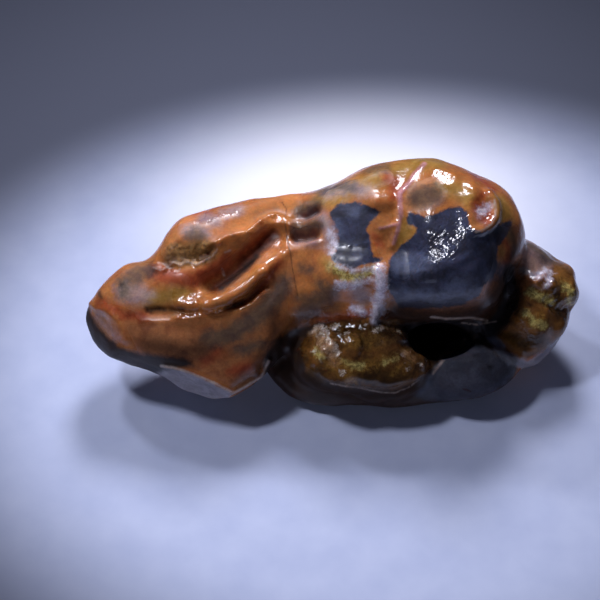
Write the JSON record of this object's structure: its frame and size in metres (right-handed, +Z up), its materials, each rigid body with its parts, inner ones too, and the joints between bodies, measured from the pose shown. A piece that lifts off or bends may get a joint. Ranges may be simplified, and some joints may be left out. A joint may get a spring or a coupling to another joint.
{
  "type": "raw agate pebble",
  "caption": "Knobbly wind-polished agate pebble with a folded leaf-like end, a glossy rounded dome, a small dark hollow and rough knobs, lying on a worn flat underside.",
  "frame": {"origin": "middle of the bounding box, on the surface the stone rests on", "axes": "+X along the stone's length, from the folded thin end to the rough end knob; +Y away from the folded front face; +Z up"},
  "size_m": [0.0482, 0.0228, 0.0198],
  "materials": {
    "agate": "glossy wind polish, with rough pitted patches"
  },
  "bodies": {
    "root": {"stone": "agate"}
  },
  "joints": []
}
